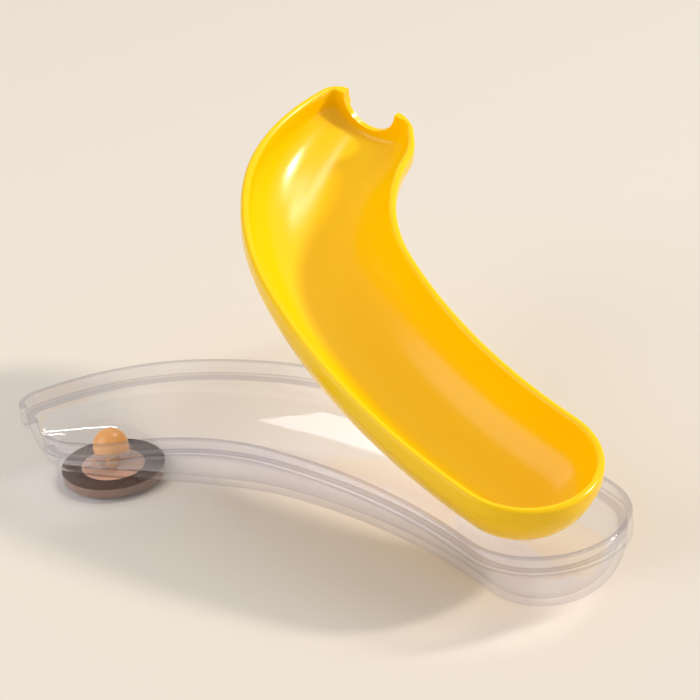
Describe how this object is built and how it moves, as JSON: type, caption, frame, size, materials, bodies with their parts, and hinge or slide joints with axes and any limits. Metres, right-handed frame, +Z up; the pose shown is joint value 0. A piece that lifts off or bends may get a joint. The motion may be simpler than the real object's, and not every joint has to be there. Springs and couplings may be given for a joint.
{
  "type": "banana carrying case",
  "caption": "Two-part hard case shaped for one curved fruit: a clear half shell lying open and an opaque yellow half shell resting in it, with a round badge under the stem end.",
  "frame": {"origin": "on the ground under the middle of the clear half's belly", "axes": "+X from the clear half's stem end to its blunt end, along the straight line between them, +Z up"},
  "size_m": [0.2333, 0.1698, 0.0942],
  "materials": {
    "clear_plastic": "polished moulding",
    "yellow_plastic": "smooth moulding",
    "brown_plastic": "smooth moulding",
    "peach_plastic": "fine matt moulding",
    "amber_plastic": "smooth moulding"
  },
  "bodies": {
    "tray": {"clear_half": "clear_plastic", "badge_disc": "brown_plastic", "badge_plug": "peach_plastic", "badge_knob": "amber_plastic"},
    "lid": {"yellow_half": "yellow_plastic"}
  },
  "joints": [
    {"name": "lid_lift", "type": "slide", "parent": "tray", "child": "lid", "axis": [0, 0, 1], "range_m": [0, 0.1]}
  ]
}
